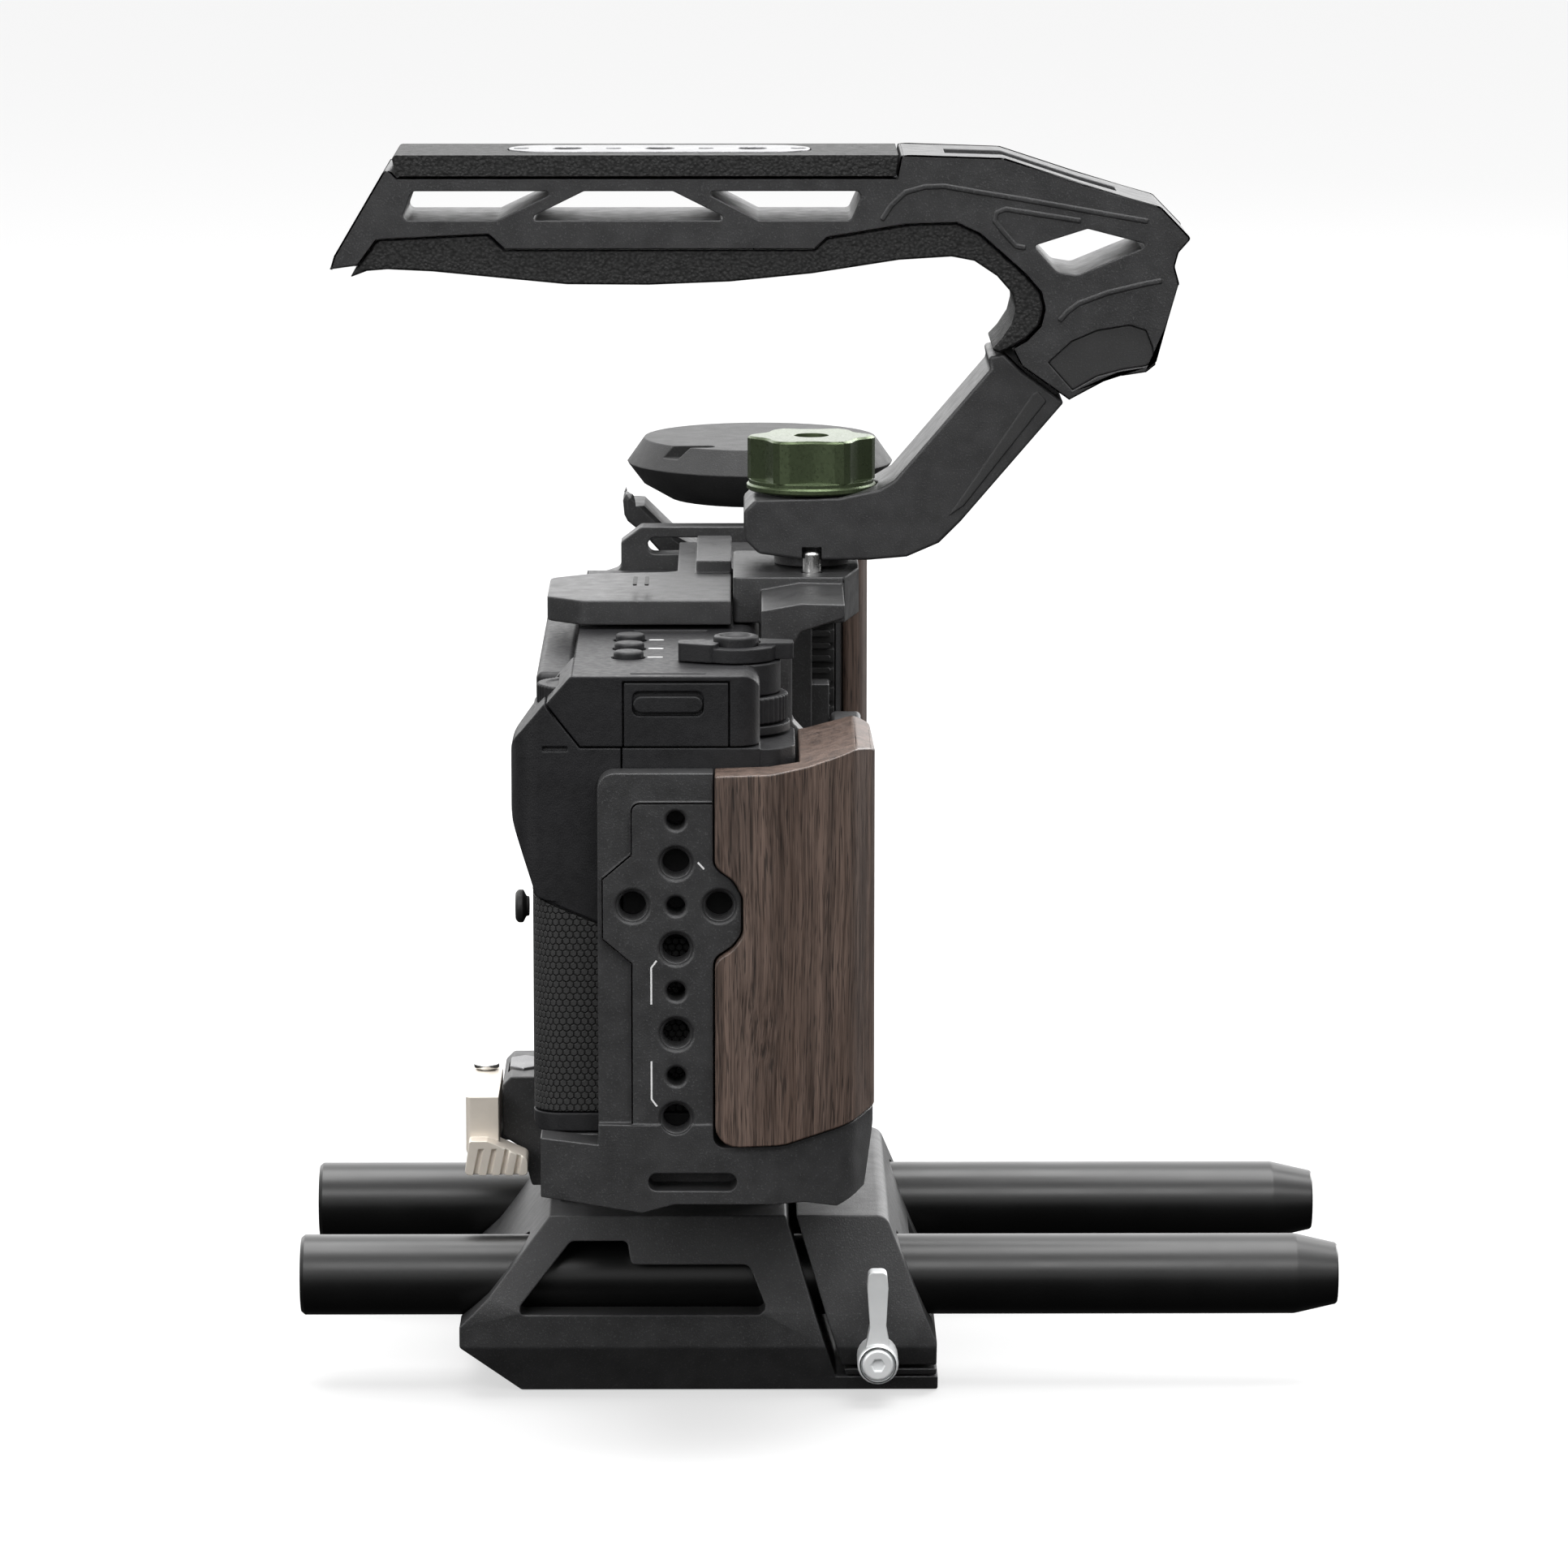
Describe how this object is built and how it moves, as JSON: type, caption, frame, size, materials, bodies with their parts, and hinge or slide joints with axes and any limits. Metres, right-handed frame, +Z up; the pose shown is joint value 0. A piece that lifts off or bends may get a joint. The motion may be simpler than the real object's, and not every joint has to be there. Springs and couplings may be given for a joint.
{
  "type": "cinema camera rig",
  "caption": "Compact cinema camera in a cage with a walnut grip, on a sliding quick-release base with rods, with a top handle and a side handle.",
  "frame": {"origin": "on the flat underside of the base, midway between the two rods, below the lens axis", "axes": "+X towards the lens side (front), +Y towards the operator's left, +Z up"},
  "size_m": [0.1936, 0.2015, 0.2282],
  "materials": {
    "black_anodised": "black anodised aluminium, fine bead-blasted",
    "camera_black": "fine-textured black camera paint",
    "rod_black": "satin black anodised tube",
    "black_rubber": "textured black rubber",
    "walnut": "oiled dark walnut, straight grain",
    "bright_steel": "turned stainless steel",
    "satin_silver": "satin silver die-cast lever",
    "champagne": "champagne anodised",
    "green_anodised": "glossy dark green anodised",
    "grey_anodised": "mid grey anodised",
    "dark_glass": "black glass",
    "battery_grey": "dark grey moulded case",
    "cap_black": "satin black moulded cap"
  },
  "bodies": {
    "base": {"rod_base": "black_anodised", "rod_clamp": "black_anodised", "tripod_insert": "bright_steel", "qr_receiver": "black_anodised", "qr_lever_pin": "bright_steel"},
    "rod_right": {"rod_right": "rod_black"},
    "rod_left": {"rod_left": "rod_black"},
    "clamp_lever": {"clamp_lever": "satin_silver", "clamp_lever_screw": "bright_steel"},
    "qr_lever": {"qr_lever": "champagne"},
    "qr_release_button": {"qr_release_button": "grey_anodised"},
    "camera": {"qr_plate": "black_anodised", "cage_right_wall": "black_anodised", "cage_bottom_plate": "black_anodised", "cage_front_post": "black_anodised", "cage_top_block": "black_anodised", "cage_top_plate": "black_anodised", "cage_left_wall": "black_anodised", "locating_pin_right": "bright_steel", "locating_pin_left": "bright_steel", "wood_grip": "walnut", "front_shell": "camera_black", "rear_cover": "camera_black", "top_cover": "camera_black", "strap_lug_panel": "camera_black", "grip_rubber": "black_rubber", "battery": "battery_grey", "image_sensor": "dark_glass", "lens_mount_ring": "bright_steel", "monitor_hinge": "camera_black", "handle_frame": "black_anodised", "handle_lower_pad": "black_rubber", "handle_top_pad": "black_rubber", "handle_thread_plate": "grey_anodised", "handle_neck": "black_anodised", "side_rail": "black_anodised"},
    "handle_knob": {"handle_knob": "green_anodised", "handle_bolt": "bright_steel"},
    "monitor": {"monitor": "camera_black", "monitor_glass": "dark_glass"},
    "shutter_button": {"shutter_button": "camera_black"},
    "power_switch": {"power_switch": "camera_black"},
    "front_dial": {"front_dial": "camera_black"},
    "rear_dial": {"rear_dial": "camera_black"},
    "joystick": {"joystick": "black_rubber"},
    "top_button_1": {"top_button_1": "camera_black"},
    "top_button_2": {"top_button_2": "camera_black"},
    "top_button_3": {"top_button_3": "camera_black"},
    "lens_release_button": {"lens_release_button": "camera_black"},
    "battery_door": {"battery_door": "camera_black"},
    "port_cover": {"port_cover": "black_rubber"},
    "side_handle": {"side_clamp": "black_anodised", "side_handle_core": "black_anodised", "side_handle_wood": "walnut", "side_handle_ribs": "black_rubber", "side_handle_cap": "cap_black", "side_handle_thumb_rest": "black_anodised"},
    "side_clamp_knob": {"side_clamp_knob": "black_anodised"}
  },
  "joints": [
    {"name": "rod_right_slide", "type": "slide", "parent": "base", "child": "rod_right", "axis": [1, 0, 0], "range_m": [-0.03, 0.03]},
    {"name": "rod_left_slide", "type": "slide", "parent": "base", "child": "rod_left", "axis": [1, 0, 0], "range_m": [-0.03, 0.03]},
    {"name": "clamp_lever_turn", "type": "hinge", "parent": "base", "child": "clamp_lever", "pos_m": [0.0252, -0.0473, 0.0081], "axis": [0, 1, 0], "range_deg": [-100, 100]},
    {"name": "qr_lever_turn", "type": "hinge", "parent": "base", "child": "qr_lever", "pos_m": [-0.0486, 0.005, 0.045], "axis": [0, 0, -1], "range_deg": [0, 90]},
    {"name": "qr_release_press", "type": "slide", "parent": "base", "child": "qr_release_button", "axis": [0, 0, -1], "range_m": [0, 0.0012], "stiffness_N_per_m": 400},
    {"name": "rig_slide", "type": "slide", "parent": "base", "child": "camera", "axis": [1, 0, 0], "range_m": [0, 0.015]},
    {"name": "handle_knob_turn", "type": "hinge", "parent": "camera", "child": "handle_knob", "pos_m": [0.0133, 0, 0.169], "axis": [0, 0, 1], "continuous": true},
    {"name": "monitor_swing", "type": "hinge", "parent": "camera", "child": "monitor", "pos_m": [-0.0372, 0.0432, 0.106], "axis": [0, 0, -1], "range_deg": [0, 175]},
    {"name": "shutter_press", "type": "slide", "parent": "camera", "child": "shutter_button", "axis": [0, 0, -1], "range_m": [0, 0.001], "stiffness_N_per_m": 300},
    {"name": "power_switch_turn", "type": "hinge", "parent": "camera", "child": "power_switch", "pos_m": [-0.0008, -0.06, 0.143], "axis": [0, 0, 1], "range_deg": [0, 30]},
    {"name": "front_dial_turn", "type": "hinge", "parent": "camera", "child": "front_dial", "pos_m": [-0.0008, -0.06, 0.1329], "axis": [0, 0, 1], "continuous": true},
    {"name": "rear_dial_turn", "type": "hinge", "parent": "camera", "child": "rear_dial", "pos_m": [-0.0296, -0.066, 0.1362], "axis": [0, 0, 1], "continuous": true},
    {"name": "joystick_press", "type": "slide", "parent": "camera", "child": "joystick", "axis": [1, 0, 0], "range_m": [0, 0.0005], "stiffness_N_per_m": 400},
    {"name": "top_button_1_press", "type": "slide", "parent": "camera", "child": "top_button_1", "axis": [0, 0, -1], "range_m": [0, 0.0008], "stiffness_N_per_m": 300},
    {"name": "top_button_2_press", "type": "slide", "parent": "camera", "child": "top_button_2", "axis": [0, 0, -1], "range_m": [0, 0.0008], "stiffness_N_per_m": 300},
    {"name": "top_button_3_press", "type": "slide", "parent": "camera", "child": "top_button_3", "axis": [0, 0, -1], "range_m": [0, 0.0008], "stiffness_N_per_m": 300},
    {"name": "lens_release_press", "type": "slide", "parent": "camera", "child": "lens_release_button", "axis": [-1, 0, 0], "range_m": [0, 0.0012], "stiffness_N_per_m": 300},
    {"name": "battery_door_swing", "type": "hinge", "parent": "camera", "child": "battery_door", "pos_m": [-0.0087, -0.0771, 0.059], "axis": [-1, 0, 0], "range_deg": [0, 85]},
    {"name": "port_cover_swing", "type": "hinge", "parent": "camera", "child": "port_cover", "pos_m": [-0.0245, 0.0554, 0.0995], "axis": [0, 0, 1], "range_deg": [0, 95]},
    {"name": "side_handle_slide", "type": "slide", "parent": "camera", "child": "side_handle", "axis": [0, 0, 1], "range_m": [-0.004, 0.01]},
    {"name": "side_clamp_knob_turn", "type": "hinge", "parent": "side_handle", "child": "side_clamp_knob", "pos_m": [0.0208, 0.0637, 0.105], "axis": [1, 0, 0], "continuous": true}
  ]
}
